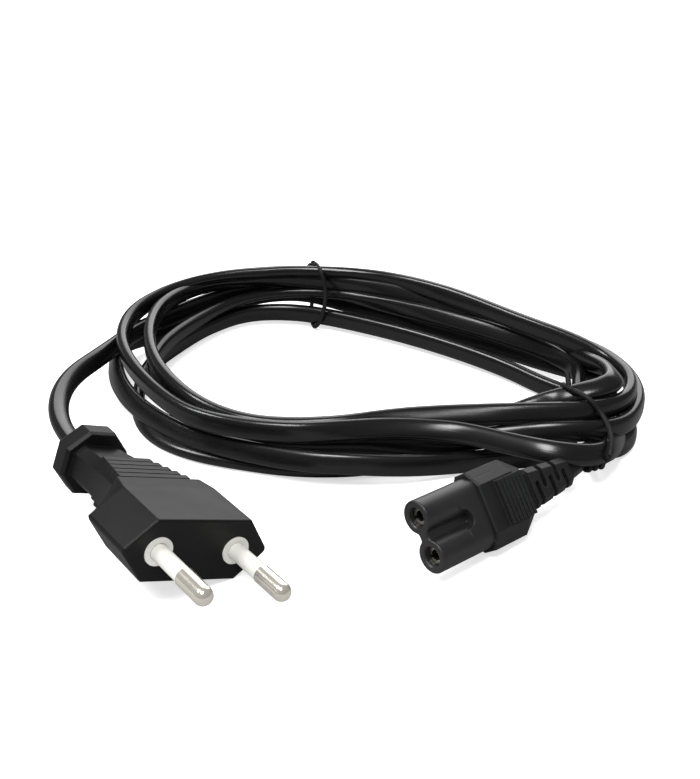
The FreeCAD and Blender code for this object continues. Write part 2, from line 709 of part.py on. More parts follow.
def restingPose(prefix, items):
    turn = FreeCAD.Rotation(mm(prefix + "Yaw"), mm(prefix + "Pitch"), mm(prefix + "Roll"))
    lowest = 0.0
    for item in items:
        shape = item.Shape.copy()
        shape.Placement = FreeCAD.Placement(V(0, 0, 0), turn)
        lowest = min(lowest, shape.optimalBoundingBox(False).ZMin)
    return FreeCAD.Placement(V(mm(prefix + "FaceX"), mm(prefix + "FaceY"), -lowest), turn)


plugPose = restingPose("plug", [plugItems["plug_body"], plugItems["plug_pin_right"]])
connectorPose = restingPose("connector",
                            [connectorItems["connector_body"], connectorItems["connector_nose"]])


def offAxis(name, spacing):
    # pins, sleeves and contacts are turned on the axis and stand beside it
    for word, side in sides.items():
        if name.endswith(word) and name.split("_")[1] in ("pin", "sleeve", "contact"):
            return FreeCAD.Placement(V(0, side * spacing / 2, 0), FreeCAD.Rotation())
    return FreeCAD.Placement()


for name, item in plugItems.items():
    keep(name, item, plugPose.multiply(offAxis(name, mm("pinSpacing"))))
for name, item in connectorItems.items():
    keep(name, item, connectorPose.multiply(offAxis(name, mm("lobeSpacing"))))

# Coil: a closed band of the outer shape of the wound cord, resting on its two ties

coilLift = mm("tieDiameter") + mm("tieGap")
coilPoints = [V(x, y, coilLift) for x, y in (
    (-55.3, 70), (-55.3, 98), (-40.8, 121), (-22.8, 132.5), (17.2, 132.5), (41.2, 118), (65.2, 94),
    (79.2, 72), (77.2, 53), (51.2, 37.5), (11.2, 35.5), (-22.8, 38.5), (-44.8, 52))]
coilRoute, coilRadii = roundedRoute(coilPoints, True)
band = []
for grow in (0.5, -0.5):
    ring = coilRoute.makeOffset2D(grow * mm("coilWidth"), 0, False, False)
    band.append(Part.Face(ring))
band.sort(key=lambda face: -face.Area)
coilShape = band[0].cut(band[1]).extrude(V(0, 0, mm("coilHeight")))
rims = [edge for edge in coilShape.Edges
        if abs(edge.Vertexes[0].Z - edge.Vertexes[-1].Z) < 0.001]
coilShape = coilShape.makeFillet(mm("coilEdgeRadius"), rims)

# Leads: flat inside the moulding, then a round bar of the same section area to the coil

flatArea = Part.Face(flatOutline(mm("cordWidth"), mm("cordThickness"), 0)).Area
barRadius = math.sqrt(flatArea / math.pi)
plugLeadPoints = [V(-64.6, 48.5, 13.3), V(-65.4, 64.5, 12.5), V(-60.1, 81.5, 11), V(-52.8, 94, 10)]
connectorLeadPoints = [V(71.2, 37, 5.6), V(77.2, 47, 5)]
leadRadii = {}


def leadShape(name, pose, sheathDepth, rearDepth, lean, firstRun, points):
    out = pose.multVec(V(-rearDepth, 0, 0) + lean)
    bend = pose.multVec(V(-rearDepth - firstRun, 0, 0) + lean)
    route, radii = roundedRoute([out, bend] + points)
    leadRadii[name] = radii
    bar = roundBar(route, barRadius)
    expected = flatArea * route.Length
    print(name, "bar", round(bar.Volume, 1), "section times length", round(expected, 1), "length",
          round(route.Length, 1))
    inside = flatBar(sheathDepth, rearDepth, lean)
    inside.Placement = pose
    trimmed = bar.cut(coilShape)
    nearest = sorted(trimmed.Solids, key=lambda solid: solid.distToShape(Part.Vertex(out))[0])[0]
    return inside.fuse(nearest).removeSplitter()


plugLead = leadShape("plug_lead", plugPose, mm("plugSheathDepth"), plugRear, plugLean,
                     mm("plugLeadRun"), plugLeadPoints)
connectorLead = leadShape("connector_lead", connectorPose, mm("connectorSheathDepth"), connectorRear, V(),
                          mm("connectorLeadRun"), connectorLeadPoints)


# Ties: one turn of coated wire round the coil at the middle of a straight run

def tieShape(first, second):
    centre = (first + second) / 2 + V(0, 0, mm("coilHeight") / 2)
    along = (second - first).normalize()
    wire = mm("tieDiameter") / 2
    grow = mm("tieGap") + wire
    half = mm("coilWidth") / 2 + grow
    rise = mm("coilHeight") / 2 + grow
    corner = mm("coilEdgeRadius") + grow
    flat = Part.makePlane(2 * half, 2 * rise, V(0, -half, -rise), V(1, 0, 0))
    box = flat.BoundBox
    loop = []
    inner = [V(0, half - corner, rise - corner), V(0, -half + corner, rise - corner),
             V(0, -half + corner, -rise + corner), V(0, half - corner, -rise + corner)]
    for k, core in enumerate(inner):
        start = math.radians(90 * k)
        ends = [core + V(0, math.cos(start + a), math.sin(start + a)) * corner
                for a in (0, math.pi / 4, math.pi / 2)]
        nextCore = inner[(k + 1) % 4]
        turn = math.radians(90 * (k + 1))
        loop.append(Part.Arc(*ends).toShape())
        loop.append(Part.makeLine(ends[2], nextCore + V(0, math.cos(turn), math.sin(turn)) * corner))
    return roundBar(Part.Wire(loop), wire), FreeCAD.Placement(centre, FreeCAD.Rotation(V(1, 0, 0), along))


here = FreeCAD.Placement()
keep("cord_coil", shaped("cordCoil", coilShape), here)
keep("plug_lead", shaped("plugLead", plugLead), here)
keep("connector_lead", shaped("connectorLead", connectorLead), here)
backTie, backPose = tieShape(coilPoints[3], coilPoints[4])
frontTie, frontPose = tieShape(coilPoints[8], coilPoints[9])
keep("tie_back", shaped("tieBack", backTie), backPose)
keep("tie_front", shaped("tieFront", frontTie), frontPose)
doc.recompute()

print("coil arc radii", [round(radius, 1) for radius in coilRadii], "round the middle",
      round(coilRoute.Length, 1))
for name, radii in leadRadii.items():
    print(name, "arc radii", [round(radius, 1) for radius in radii])

# Check every object, then write one file for each piece

for item in doc.Objects:
    if "Invalid" in item.State or "Error" in item.State:
        raise RuntimeError("failed object " + item.Name)
for name, item in pieces.items():
    shape = item.Shape
    if shape.isNull() or not shape.isValid() or not shape.Solids:
        raise RuntimeError("bad shape " + name)

os.makedirs("parts", exist_ok=True)
for name, item in pieces.items():
    item.Shape.exportStep("parts/%s.step" % name)
    print(name, len(item.Shape.Solids), round(item.Shape.Volume, 1))
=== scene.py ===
# A two-pin mains lead: plug, flat cord in a tied coil, and figure-eight connector, all in metres.
import json
import math
import bpy
import numpy as np
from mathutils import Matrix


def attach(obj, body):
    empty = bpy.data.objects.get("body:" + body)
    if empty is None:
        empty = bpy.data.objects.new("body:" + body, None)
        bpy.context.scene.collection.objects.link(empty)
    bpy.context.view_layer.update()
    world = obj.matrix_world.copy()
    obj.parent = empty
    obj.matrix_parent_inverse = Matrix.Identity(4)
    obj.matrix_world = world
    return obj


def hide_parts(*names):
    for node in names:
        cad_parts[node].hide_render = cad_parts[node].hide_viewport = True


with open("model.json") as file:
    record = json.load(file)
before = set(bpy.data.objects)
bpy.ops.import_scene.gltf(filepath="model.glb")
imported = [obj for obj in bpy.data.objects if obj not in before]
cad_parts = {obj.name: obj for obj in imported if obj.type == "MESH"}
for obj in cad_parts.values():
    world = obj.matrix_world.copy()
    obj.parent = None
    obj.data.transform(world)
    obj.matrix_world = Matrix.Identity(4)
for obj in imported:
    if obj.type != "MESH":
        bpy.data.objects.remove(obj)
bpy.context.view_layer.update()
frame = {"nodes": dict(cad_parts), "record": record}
nodes = frame["nodes"]
print("frame loaded:", len(nodes), "solids")


# Camera: low in front of the lead, a short way above the table

camera = {"place": (0.008, -0.19261, 0.1396), "down": 27.0, "lens": 56.571, "sensor": 36.0,
          "near": 0.01, "far": 50.0}


def makeCamera(values):
    data = bpy.data.cameras.new("photoCamera")
    data.sensor_fit = "HORIZONTAL"
    data.sensor_width = values["sensor"]
    data.lens = values["lens"]
    data.clip_start = values["near"]
    data.clip_end = values["far"]
    item = bpy.data.objects.new("photoCamera", data)
    item.location = values["place"]
    item.rotation_euler = (math.radians(90.0 - values["down"]), 0.0, 0.0)
    bpy.context.collection.objects.link(item)
    bpy.context.scene.camera = item


makeCamera(camera)
print("camera set")


# Shared mesh makers

def makeObject(name, mesh, material=None):
    item = bpy.data.objects.new(name, mesh)
    bpy.context.collection.objects.link(item)
    if material:
        mesh.materials.append(material)
    return item


def gridMesh(name, points, smooth=True, uv=None):
    # points[i, j] is a closed ring j carried along i, and a fan of triangles shuts each end
    rows, around = points.shape[:2]
    verts = np.concatenate([points.reshape(-1, 3), points[0].mean(0)[None], points[-1].mean(0)[None]])
    i, j = np.meshgrid(np.arange(rows - 1), np.arange(around), indexing="ij")
    k = (j + 1) % around
    quads = np.stack([i * around + j, (i + 1) * around + j, (i + 1) * around + k, i * around + k], -1)
    quads = quads.reshape(-1, 4)
    ring = np.arange(around)
    after = (ring + 1) % around
    last = (rows - 1) * around
    first = np.stack([np.full(around, rows * around), ring, after], -1)
    final = np.stack([np.full(around, rows * around + 1), last + after, last + ring], -1)
    mesh = bpy.data.meshes.new(name)
    mesh.from_pydata(verts.tolist(), [], quads.tolist() + first.tolist() + final.tolist())
    mesh.polygons.foreach_set("use_smooth", np.full(len(mesh.polygons), smooth))
    if uv is not None:
        # u runs along the piece in metres and v once round it, as a share of its section's angle
        layer = mesh.uv_layers.new(name="along")
        u, v = uv
        corner = np.stack([
            np.stack([u[i], v[j]], -1), np.stack([u[i + 1], v[j]], -1),
            np.stack([u[i + 1], v[j + 1]], -1), np.stack([u[i], v[j + 1]], -1)], -2).reshape(-1, 2)
        caps = np.zeros((6 * around, 2))
        layer.data.foreach_set("uv", np.concatenate([corner, caps]).ravel())
    mesh.update()
    return mesh


def smoothLine(name, points, steps):
    # a NURBS curve of order 3 through the route, read back as its own line of points
    curve = bpy.data.curves.new(name, "CURVE")
    curve.dimensions = "3D"
    curve.resolution_u = steps
    spline = curve.splines.new("NURBS")
    spline.points.add(len(points) - 1)
    spline.points.foreach_set("co", np.c_[points, np.ones(len(points))].ravel())
    spline.order_u = 3
    spline.use_endpoint_u = True
    item = bpy.data.objects.new(name, curve)
    bpy.context.collection.objects.link(item)
    mesh = bpy.data.meshes.new_from_object(item)
    line = np.empty(len(mesh.vertices) * 3)
    mesh.vertices.foreach_get("co", line)
    bpy.data.objects.remove(item)
    bpy.data.curves.remove(curve)
    bpy.data.meshes.remove(mesh)
    return line.reshape(-1, 3)


def unit(vectors):
    return vectors / np.linalg.norm(vectors, axis=-1, keepdims=True)


# Cord: flat twin cord, its section a rounded oblong carried along the route and leaned as it lies

cord = {"width": 0.0054, "thickness": 0.0033, "squareness": 2.6, "around": 32, "steps": 7, "length": 2.09}
# each point is x, y, z and how far the flat leans from standing on edge, in degrees
cordRoute = [
    # out of the plug's collar and up beside the coil
    (-0.0532, 0.0268, 0.011, -67), (-0.06, 0.0358, 0.0112, -60), (-0.0648, 0.0484, 0.0124, -45),
    (-0.0653, 0.0644, 0.0121, -25), (-0.0596, 0.0813, 0.011, -10),
    # first turn: low at the back, round the right end and low along the front
    (-0.0545, 0.1018, 0.009, 0), (-0.0412, 0.1198, 0.0085, 0), (-0.0252, 0.1328, 0.0096, 0),
    (-0.0022, 0.1373, 0.0095, 20), (0.0238, 0.1343, 0.009, 0), (0.0458, 0.1208, 0.0085, 0),
    (0.0723, 0.0933, 0.0085, 0), (0.0798, 0.084, 0.0085, 0), (0.0836, 0.0703, 0.0085, 0),
    (0.0822, 0.0554, 0.0088, 0), (0.0742, 0.0414, 0.0092, 0), (0.0586, 0.0388, 0.0105, 20),
    (0.0446, 0.0415, 0.0077, 30), (0.0299, 0.0403, 0.006, 20), (0.0129, 0.0405, 0.0056, 0),
    (-0.0042, 0.0402, 0.0055, 0), (-0.0192, 0.0442, 0.0055, 0), (-0.0327, 0.0536, 0.006, 0),
    (-0.0428, 0.0662, 0.007, 0), (-0.0473, 0.0816, 0.0075, 0), (-0.0455, 0.0937, 0.008, 10),
    # second turn: inside at the back, tight on the right
    (-0.0395, 0.1068, 0.0085, 25), (-0.0288, 0.1225, 0.0094, 50), (-0.0156, 0.1301, 0.0098, 80),
    (0.0017, 0.1297, 0.0098, 70), (0.0202, 0.1186, 0.01, 10), (0.0377, 0.1078, 0.01, -25),
    (0.0526, 0.0967, 0.0098, -30), (0.0643, 0.0889, 0.0082, -15), (0.0707, 0.0773, 0.0083, 0),
    (0.068, 0.0664, 0.0076, 0), (0.0661, 0.0516, 0.0048, 0), (0.0592, 0.0423, 0.0023, 0),
    # low band at the front, widest at the left
    (0.0514, 0.0389, 0.0029, 0), (0.0441, 0.0386, 0.0029, 0), (0.032, 0.0349, 0.0036, 5),
    (0.0199, 0.0316, 0.005, 10), (0.008, 0.0305, 0.0062, 15), (-0.0038, 0.0317, 0.0063, 20),
    (-0.0186, 0.0374, 0.006, 20), (-0.0316, 0.0447, 0.0055, 25), (-0.0428, 0.0555, 0.005, 30),
    (-0.0517, 0.0677, 0.005, 35), (-0.0578, 0.0829, 0.005, 35), (-0.0596, 0.1003, 0.005, 25),
    # third turn: on the surface at the back
    (-0.0472, 0.1108, 0.0044, 10), (-0.033, 0.1255, 0.0054, 0), (-0.0233, 0.1337, 0.007, 0),
    (-0.0074, 0.1371, 0.007, 0), (0.0064, 0.1304, 0.0056, 0), (0.0189, 0.1247, 0.0046, 0),
    (0.0293, 0.1148, 0.005, 0), (0.038, 0.1086, 0.0048, 0), (0.0518, 0.099, 0.0046, 0),
    (0.0646, 0.0883, 0.0046, 0), (0.0746, 0.0812, 0.0049, 0), (0.078, 0.0725, 0.0053, 0),
    # high twist along the front
    (0.0766, 0.0595, 0.0059, 20), (0.0747, 0.0457, 0.006, 45), (0.0683, 0.0309, 0.0082, 35),
    (0.0567, 0.0272, 0.0109, 45), (0.0461, 0.0323, 0.0105, 40), (0.0357, 0.0383, 0.0102, 35),
    (0.0273, 0.0395, 0.0105, 45), (0.0176, 0.0388, 0.0113, 45), (0.0068, 0.0361, 0.012, 25),
    (-0.0038, 0.0342, 0.0125, 5), (-0.0145, 0.0357, 0.0125, 0), (-0.0251, 0.0391, 0.0125, 0),
    (-0.0337, 0.0452, 0.0125, 0), (-0.0429, 0.0571, 0.0128, 0), (-0.0512, 0.072, 0.013, 0),
    (-0.0562, 0.0875, 0.0133, 0), (-0.0556, 0.1034, 0.0138, 0),
    # fourth turn: top strand at the back and top strand at the front
    (-0.0477, 0.1155, 0.0152, 20), (-0.0349, 0.1233, 0.017, 50), (-0.0198, 0.1265, 0.0179, 70),
    (-0.0028, 0.1279, 0.0177, 60), (0.0188, 0.1251, 0.0163, 20), (0.0378, 0.1106, 0.0166, -10),
    (0.0559, 0.0922, 0.0156, 0), (0.0696, 0.0809, 0.0146, 0), (0.0777, 0.0735, 0.0121, 0),
    (0.081, 0.0623, 0.0126, 0), (0.0772, 0.0495, 0.0126, 0), (0.0659, 0.0434, 0.0132, 15),
    (0.0541, 0.0427, 0.0133, 25), (0.0396, 0.0429, 0.0128, 42), (0.0274, 0.0427, 0.0125, 50),
    (0.0165, 0.0415, 0.012, 38), (0.0068, 0.0393, 0.0116, 10), (-0.004, 0.039, 0.0112, 0),
    (-0.0148, 0.0385, 0.012, 0), (-0.024, 0.0417, 0.013, 0), (-0.0327, 0.0483, 0.0145, 0),
    (-0.0423, 0.0642, 0.015, 0), (-0.048, 0.0844, 0.015, 0), (-0.0481, 0.1043, 0.015, 0),
    # fifth turn: flat fold on the right, then face down under the front
    (-0.0409, 0.1207, 0.0144, 30), (-0.0263, 0.1288, 0.0142, 50), (-0.003, 0.1298, 0.0138, 20),
    (0.0188, 0.1227, 0.0136, -10), (0.0351, 0.1145, 0.013, -35), (0.0516, 0.1021, 0.013, -45),
    (0.0649, 0.0956, 0.0097, -25), (0.0714, 0.0779, 0.011, 10), (0.0746, 0.0632, 0.0153, 30),
    (0.0741, 0.0514, 0.0177, 60), (0.0695, 0.0489, 0.0169, 68), (0.0635, 0.0485, 0.0155, 60),
    (0.0581, 0.0515, 0.012, 40), (0.0483, 0.0515, 0.008, 15), (0.0368, 0.0473, 0.004, 30),
    (0.0253, 0.0419, 0.002, 80), (0.0128, 0.0362, 0.0017, 90), (-0.0041, 0.0355, 0.0017, 90),
    (-0.0189, 0.0392, 0.0017, 90), (-0.0318, 0.0439, 0.0018, 85), (-0.0426, 0.0529, 0.002, 60),
    (-0.0485, 0.0651, 0.0028, 20), (-0.05, 0.0788, 0.003, 0), (-0.0488, 0.0922, 0.003, 0),
    # last half turn: low at the back and round into the connector
    (-0.0438, 0.1035, 0.0032, 0), (-0.036, 0.1157, 0.0036, 20), (-0.025, 0.1263, 0.0041, 10),
    (-0.0109, 0.1275, 0.0041, 0), (0.0018, 0.1231, 0.0041, 0), (0.0231, 0.1111, 0.004, 0),
    (0.0401, 0.0982, 0.004, 0), (0.0527, 0.0871, 0.0036, 0), (0.061, 0.0772, 0.0032, 0),
    (0.0717, 0.0683, 0.0029, 0), (0.0792, 0.061, 0.0029, 0), (0.0798, 0.0508, 0.0029, 0),
    (0.0751, 0.0437, 0.0032, 10), (0.0698, 0.041, 0.0044, 30), (0.0652, 0.0359, 0.0064, 50),
    (0.0612, 0.0302, 0.0072, 45), (0.0572, 0.0256, 0.0068, 37.6),
]


def flatTube(line, lean, values):
    # section point = cos^(2/n) a along the wide axis and sin^(2/n) a along the thin one, for a from 2 pi down
    # to 0: wide x thin is the tangent, so the ring has to run this way round for its faces to point outwards
    tangent = unit(np.gradient(line, axis=0))
    upright = unit(np.array([0.0, 0.0, 1.0]) - tangent[:, 2:3] * tangent)
    level = np.cross(tangent, upright)
    wide = np.cos(lean)[:, None] * upright + np.sin(lean)[:, None] * level
    thin = np.cos(lean)[:, None] * level - np.sin(lean)[:, None] * upright
    angle = np.linspace(2.0 * np.pi, 0.0, values["around"], endpoint=False)
    power = 2.0 / values["squareness"]
    across = values["width"] / 2 * np.sign(np.cos(angle)) * np.abs(np.cos(angle)) ** power
    through = values["thickness"] / 2 * np.sign(np.sin(angle)) * np.abs(np.sin(angle)) ** power
    return line[:, None] + across[None, :, None] * wide[:, None] + through[None, :, None] * thin[:, None]


def makeCord(values, route):
    route = np.array(route)
    line = smoothLine("cordLine", route[:, :3], values["steps"])
    count = len(route)
    place = np.linspace(0.0, count - 2.0, len(line))
    middle = np.r_[0.0, np.arange(1, count - 1) - 0.5, count - 2.0]
    lean = np.radians(np.interp(place, middle, route[:, 3]))
    run = np.r_[0.0, np.cumsum(np.linalg.norm(np.diff(line, axis=0), axis=1))]
    points = flatTube(line, lean, values)
    mesh = gridMesh("cord", points, uv=(run, np.linspace(1.0, 0.0, values["around"] + 1)))
    print("cord length", round(float(run[-1]), 4), "m, lowest", round(float(points[..., 2].min()), 5))
    return makeObject("cord", mesh), line


cordPiece, cordLine = makeCord(cord, cordRoute)


# Wire ties: thin coated wire looped round the bundle, its ends twisted together

ties = {
    "diameter": 0.0013, "around": 14, "steps": 10, "perTurn": 6,
    "guide": (0.31, 0.17, 0.93)}  # a direction that no stretch of wire runs along
backTwist = {
    "start": (-0.0048, 0.1284, 0.0189), "end": (-0.0024, 0.1282, 0.0194), "radius": 0.0004, "turns": 1.5}
frontTwist = {
    "start": (0.068, 0.0303, 0.0064), "end": (0.0635, 0.0297, 0.0055), "radius": 0.0006, "turns": 3}
# from the twist on top down the front of the strands, under them and up behind
backLoop = [
    (-0.0012, 0.1248, 0.0192), (-0.0003, 0.1236, 0.0174), (0.0003, 0.1234, 0.0145), (0.0005, 0.1226, 0.0118),
    (0.0003, 0.1214, 0.0092), (-0.0003, 0.1209, 0.0062), (-0.0014, 0.1208, 0.0034), (-0.0028, 0.1216, 0.0013),
    (-0.0035, 0.1242, 0.0008), (-0.0042, 0.129, 0.0008), (-0.0046, 0.135, 0.0008), (-0.0044, 0.1394, 0.0022),
    (-0.0038, 0.1405, 0.006), (-0.0032, 0.1399, 0.0112), (-0.0032, 0.1376, 0.0152), (-0.0032, 0.134, 0.0181),
    (-0.0036, 0.1304, 0.0194)]
# from the free end that stands up, over the crossing and down the front of the strands
frontTop = [
    (0.0615, 0.0506, 0.0205), (0.0616, 0.0492, 0.019), (0.0617, 0.0479, 0.0173), (0.0636, 0.0464, 0.0171),
    (0.0661, 0.0435, 0.0167), (0.0687, 0.0425, 0.0137), (0.0701, 0.0393, 0.012), (0.0698, 0.0329, 0.0109),
    (0.0687, 0.0287, 0.0096)]
# from the twist below, under the strands, up behind them and once round the crossing
frontUnder = [
    (0.0641, 0.0322, 0.0034), (0.0656, 0.036, 0.0018), (0.0666, 0.041, 0.0008), (0.0654, 0.047, 0.0008),
    (0.0642, 0.0526, 0.0014), (0.0629, 0.0562, 0.005), (0.0619, 0.0562, 0.0105), (0.0613, 0.0536, 0.0158),
    (0.0609, 0.0496, 0.0172), (0.0619, 0.047, 0.0178), (0.0632, 0.0472, 0.0163), (0.0636, 0.0482, 0.0145)]


def twist(values, perTurn):
    # a helix round the line between two points: the two ends of the wire wound together
    start, end = np.array(values["start"]), np.array(values["end"])
    side = unit(np.cross(end - start, [0.0, 0.0, 1.0]))
    rise = unit(np.cross(side, end - start))
    share = np.linspace(0.0, 1.0, int(values["turns"] * perTurn) + 1)
    angle = 2.0 * np.pi * values["turns"] * share
    points = (start + share[:, None] * (end - start)
              + values["radius"] * (np.cos(angle)[:, None] * side + np.sin(angle)[:, None] * rise))
    return [tuple(point) for point in points]


def wire(name, points, values):
    # a circle of the wire's radius carried along the line, cos a sideways and sin a upwards
    line = smoothLine(name + "Line", np.array(points), values["steps"])
    tangent = unit(np.gradient(line, axis=0))
    side = unit(np.cross(tangent, np.array(values["guide"])))
    rise = np.cross(side, tangent)
    angle = np.linspace(0.0, 2.0 * np.pi, values["around"], endpoint=False)
    radius = values["diameter"] / 2
    points = line[:, None] + radius * (np.cos(angle)[None, :, None] * side[:, None]
                                       + np.sin(angle)[None, :, None] * rise[:, None])
    return makeObject(name, gridMesh(name, points))


tieBack = wire("tieBack", twist(backTwist, ties["perTurn"]) + backLoop, ties)
tieFront = wire("tieFront", frontTop + twist(frontTwist, ties["perTurn"]) + frontUnder, ties)
print("ties made")


# Shader node groups that several finishes share

noise = {"grainDetail": 3.0, "patchDetail": 5.0, "streakDetail": 4.0}
edges = {"samples": 4, "flat": 0.98, "sharp": 0.8}  # cosines at which the painted edge highlight begins and is full


def newGroup(name, inputs, outputs):
    group = bpy.data.node_groups.new(name, "ShaderNodeTree")
    for label, kind, value in inputs:
        socket = group.interface.new_socket(label, in_out="INPUT", socket_type=kind)
        if value is not None:
            socket.default_value = value
    for label, kind in outputs:
        group.interface.new_socket(label, in_out="OUTPUT", socket_type=kind)
    return group, group.nodes.new("NodeGroupInput"), group.nodes.new("NodeGroupOutput")


def mouldedGrain():
    # two sizes of noise: fine spark-eroded grain for the height, broad cloudy patches for gloss and colour
    group, entry, leave = newGroup(
        "mouldedGrain",
        [("Vector", "NodeSocketVector", None), ("Grain", "NodeSocketFloat", 4000.0),
         ("Patch", "NodeSocketFloat", 90.0), ("Base", "NodeSocketColor", (0.02, 0.02, 0.02, 1.0)),
         ("Worn", "NodeSocketColor", (0.05, 0.05, 0.05, 1.0)), ("Rough", "NodeSocketFloat", 0.4),
         ("Spread", "NodeSocketFloat", 0.1)],
        [("Color", "NodeSocketColor"), ("Roughness", "NodeSocketFloat"), ("Height", "NodeSocketFloat")])
    link = group.links.new
    grain = group.nodes.new("ShaderNodeTexNoise")
    grain.inputs["Detail"].default_value = noise["grainDetail"]
    patch = group.nodes.new("ShaderNodeTexNoise")
    patch.inputs["Detail"].default_value = noise["patchDetail"]
    for node, size in ((grain, "Grain"), (patch, "Patch")):
        link(entry.outputs["Vector"], node.inputs["Vector"])
        link(entry.outputs[size], node.inputs["Scale"])
    mix = group.nodes.new("ShaderNodeMix")
    mix.data_type = "RGBA"
    link(patch.outputs["Fac"], mix.inputs["Factor"])
    link(entry.outputs["Base"], mix.inputs["A"])
    link(entry.outputs["Worn"], mix.inputs["B"])
    link(mix.outputs["Result"], leave.inputs["Color"])
    centred = group.nodes.new("ShaderNodeMath")
    centred.operation = "SUBTRACT"
    centred.inputs[1].default_value = 0.5
    link(patch.outputs["Fac"], centred.inputs[0])
    rough = group.nodes.new("ShaderNodeMath")
    rough.operation = "MULTIPLY_ADD"
    link(centred.outputs[0], rough.inputs[0])
    link(entry.outputs["Spread"], rough.inputs[1])
    link(entry.outputs["Rough"], rough.inputs[2])
    link(rough.outputs[0], leave.inputs["Roughness"])
    link(grain.outputs["Fac"], leave.inputs["Height"])
    return group


def softEdge():
    # the angle between the true normal and one rounded over a small radius marks the edges; there a lighter
    # colour is mixed in as a painted highlight, and the rounded normal is passed on
    group, entry, leave = newGroup(
        "softEdge",
        [("Radius", "NodeSocketFloat", 0.0004), ("Color", "NodeSocketColor", (0.02, 0.02, 0.02, 1.0)),
         ("Edge", "NodeSocketColor", (0.08, 0.08, 0.08, 1.0)), ("Amount", "NodeSocketFloat", 0.4)],
        [("Color", "NodeSocketColor"), ("Normal", "NodeSocketVector")])
    link = group.links.new
    bevel = group.nodes.new("ShaderNodeBevel")
    bevel.samples = edges["samples"]
    link(entry.outputs["Radius"], bevel.inputs["Radius"])
    geometry = group.nodes.new("ShaderNodeNewGeometry")
    dot = group.nodes.new("ShaderNodeVectorMath")
    dot.operation = "DOT_PRODUCT"
    link(bevel.outputs["Normal"], dot.inputs[0])
    link(geometry.outputs["True Normal"], dot.inputs[1])
    mask = group.nodes.new("ShaderNodeMapRange")
    mask.inputs["From Min"].default_value = edges["flat"]
    mask.inputs["From Max"].default_value = edges["sharp"]
    link(dot.outputs["Value"], mask.inputs["Value"])
    share = group.nodes.new("ShaderNodeMath")
    share.operation = "MULTIPLY"
    link(mask.outputs["Result"], share.inputs[0])
    link(entry.outputs["Amount"], share.inputs[1])
    # painted highlight: the lighter edge colour mixed onto the base colour where the edge mask is high
    mix = group.nodes.new("ShaderNodeMix")
    mix.data_type = "RGBA"
    link(share.outputs[0], mix.inputs["Factor"])
    link(entry.outputs["Color"], mix.inputs["A"])
    link(entry.outputs["Edge"], mix.inputs["B"])
    link(mix.outputs["Result"], leave.inputs["Color"])
    link(bevel.outputs["Normal"], leave.inputs["Normal"])
    return group


grainGroup = mouldedGrain()
edgeGroup = softEdge()


def newMaterial(name):
    material = bpy.data.materials.new(name)
    material.use_nodes = True
    tree = material.node_tree
    return material, tree, tree.nodes["Principled BSDF"]


def placed(tree, group):
    node = tree.nodes.new("ShaderNodeGroup")
    node.node_tree = group
    return node


def grainNode(tree, values):
    # the shared grain on the piece's own coordinates
    where = tree.nodes.new("ShaderNodeTexCoord")
    grain = placed(tree, grainGroup)
    tree.links.new(where.outputs["Object"], grain.inputs["Vector"])
    for label, key in (("Grain", "grain"), ("Patch", "patch"), ("Rough", "rough"), ("Spread", "spread")):
        grain.inputs[label].default_value = values[key]
    for label, key in (("Base", "base"), ("Worn", "worn")):
        grain.inputs[label].default_value = (*values[key], 1.0)
    return grain


def bumpNode(tree, values):
    bump = tree.nodes.new("ShaderNodeBump")
    bump.inputs["Strength"].default_value = values["strength"]
    bump.inputs["Distance"].default_value = values["depth"]
    return bump


def mouldedFinish(name, values):
    # moulded plastic: patchy colour and gloss, fine grain as bump, softened edges lightened in colour as a
    # painted highlight
    material, tree, shader = newMaterial(name)
    link = tree.links.new
    grain = grainNode(tree, values)
    # this group paints a highlight colour along the softened edges and passes on their rounded normal
    edge = placed(tree, edgeGroup)
    edge.inputs["Radius"].default_value = values["radius"]
    edge.inputs["Edge"].default_value = (*values["edge"], 1.0)
    edge.inputs["Amount"].default_value = values["highlightAmount"]
    link(grain.outputs["Color"], edge.inputs["Color"])
    bump = bumpNode(tree, values)
    link(grain.outputs["Height"], bump.inputs["Height"])
    link(edge.outputs["Normal"], bump.inputs["Normal"])
    link(edge.outputs["Color"], shader.inputs["Base Color"])
    link(grain.outputs["Roughness"], shader.inputs["Roughness"])
    link(bump.outputs["Normal"], shader.inputs["Normal"])
    shader.inputs["IOR"].default_value = values["ior"]
    return material


def metalFinish(name, values):
    # plated metal: fine grain as bump, cloudy tarnish in colour and gloss
    material, tree, shader = newMaterial(name)
    link = tree.links.new
    grain = grainNode(tree, values)
    bump = bumpNode(tree, values)
    link(grain.outputs["Height"], bump.inputs["Height"])
    link(grain.outputs["Color"], shader.inputs["Base Color"])
    link(grain.outputs["Roughness"], shader.inputs["Roughness"])
    link(bump.outputs["Normal"], shader.inputs["Normal"])
    shader.inputs["Metallic"].default_value = values["metallic"]
    return material


